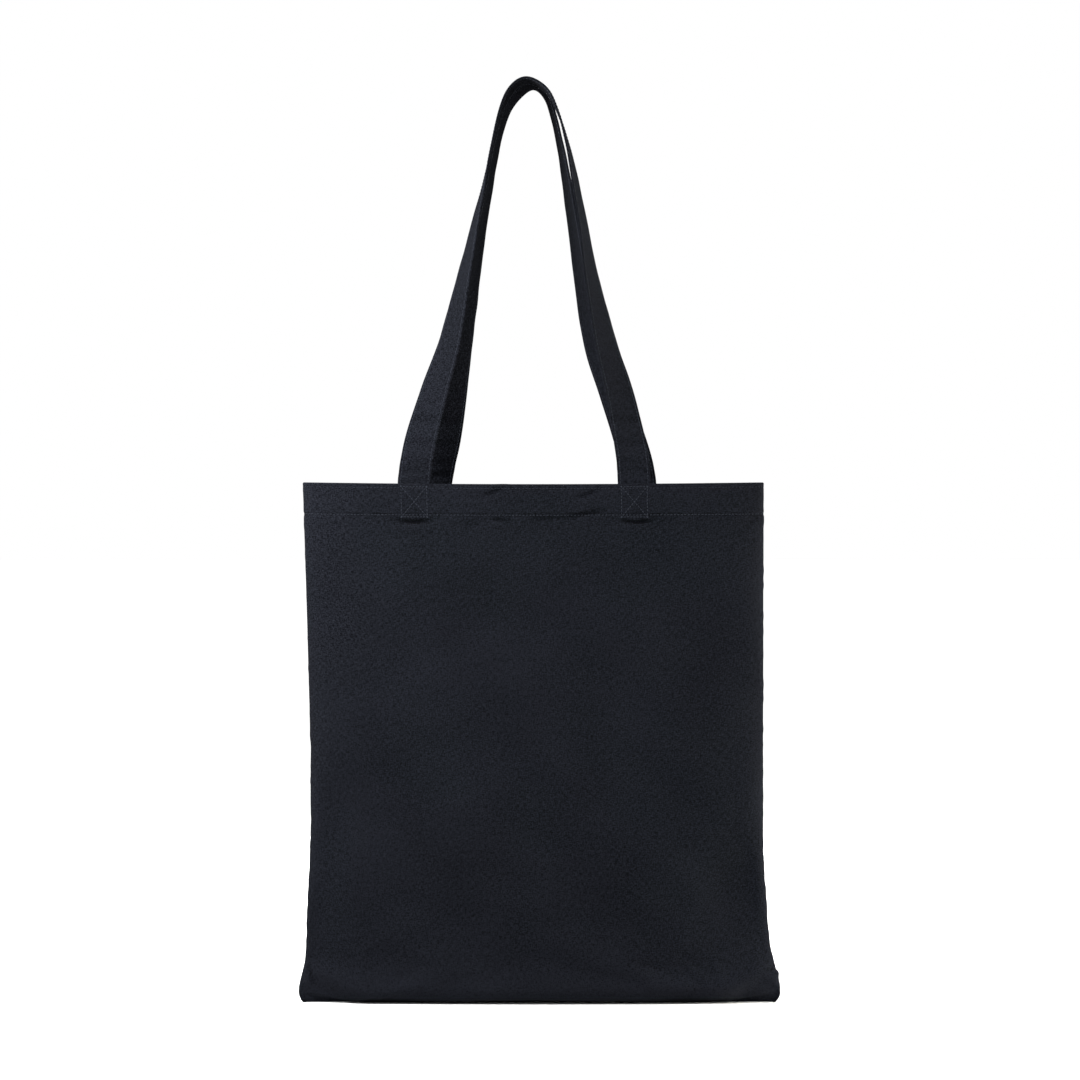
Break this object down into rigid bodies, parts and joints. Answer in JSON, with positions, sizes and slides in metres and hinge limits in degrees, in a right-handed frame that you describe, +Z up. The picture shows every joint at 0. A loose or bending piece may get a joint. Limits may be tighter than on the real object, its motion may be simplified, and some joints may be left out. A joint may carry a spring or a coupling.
{
  "type": "canvas tote bag",
  "caption": "Flat canvas tote bag with an open mouth, turned hem and long shoulder handles sewn inside the rim with crossed boxes, each handle flopping over its rim.",
  "frame": {"origin": "middle of the base, on the surface the bag stands on", "axes": "+Z up through the mouth, +X along the width towards the right seam as seen from the front, +Y from the front panel to the back panel"},
  "size_m": [0.3824, 0.056, 0.7292],
  "materials": {
    "canvas": "matte plain-weave cotton canvas, dyed black",
    "thread": "tone-on-tone sewing thread, slightly glossier than the canvas"
  },
  "bodies": {
    "bag": {"front_panel": "canvas", "back_panel": "canvas", "front_hem_stitching": "thread", "back_hem_stitching": "thread", "front_rim_stitching": "thread", "back_rim_stitching": "thread", "left_seam_allowance": "canvas", "right_seam_allowance": "canvas", "bottom_seam_allowance": "canvas", "front_left_strap_end": "canvas", "front_right_strap_end": "canvas", "back_left_strap_end": "canvas", "back_right_strap_end": "canvas", "front_left_crossed_stitching": "thread", "front_right_crossed_stitching": "thread", "back_left_crossed_stitching": "thread", "back_right_crossed_stitching": "thread"},
    "front_handle": {"front_handle": "canvas", "front_handle_outer_edge_stitching": "thread", "front_handle_inner_edge_stitching": "thread"},
    "back_handle": {"back_handle": "canvas", "back_handle_outer_edge_stitching": "thread", "back_handle_inner_edge_stitching": "thread"}
  },
  "joints": [
    {"name": "front_handle_flop", "type": "hinge", "parent": "bag", "child": "front_handle", "pos_m": [0, -0.0204, 0.411], "axis": [1, 0, 0], "range_deg": [0, 160]},
    {"name": "back_handle_flop", "type": "hinge", "parent": "bag", "child": "back_handle", "pos_m": [0, 0.0204, 0.411], "axis": [-1, 0, 0], "range_deg": [0, 160]}
  ]
}
